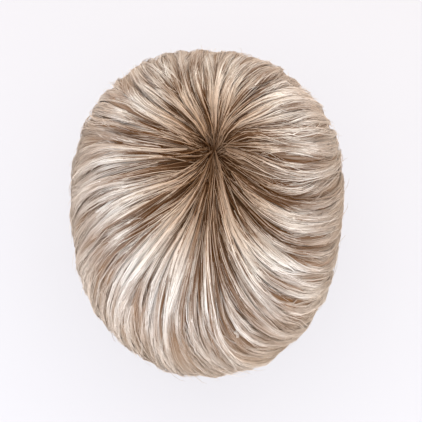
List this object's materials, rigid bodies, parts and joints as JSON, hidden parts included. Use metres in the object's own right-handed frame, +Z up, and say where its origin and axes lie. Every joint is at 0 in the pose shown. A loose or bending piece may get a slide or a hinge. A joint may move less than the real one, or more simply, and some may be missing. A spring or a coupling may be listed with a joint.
{
  "type": "pixie wig",
  "caption": "Short layered pixie wig in rooted ash-blond hair, with a crown whorl, a fringe swept to the wearer's left and a close nape, sewn on a stretch cap",
  "frame": {"origin": "the seat, where the top of the head meets the inside of the cap, in the middle of the head seen from above", "axes": "+Z up, out of the top of the head; the face looks along -Y, so +Y runs to the back of the head; +X to the wearer's left"},
  "size_m": [0.1992, 0.2382, 0.189],
  "materials": {
    "hair": "satin",
    "roots": "satin",
    "under_hair": "satin",
    "cap": "matt"
  },
  "bodies": {
    "root": {"wig_cap": "cap", "crown_whorl": "roots", "side_left_locks": "hair", "back_left_locks": "hair", "back_right_locks": "hair", "side_right_locks": "hair", "temple_right_locks": "hair", "fringe_right_locks": "hair", "fringe_left_locks": "hair", "temple_left_locks": "hair", "under_left_locks": "under_hair", "nape_locks": "under_hair", "under_right_locks": "under_hair"}
  },
  "joints": []
}
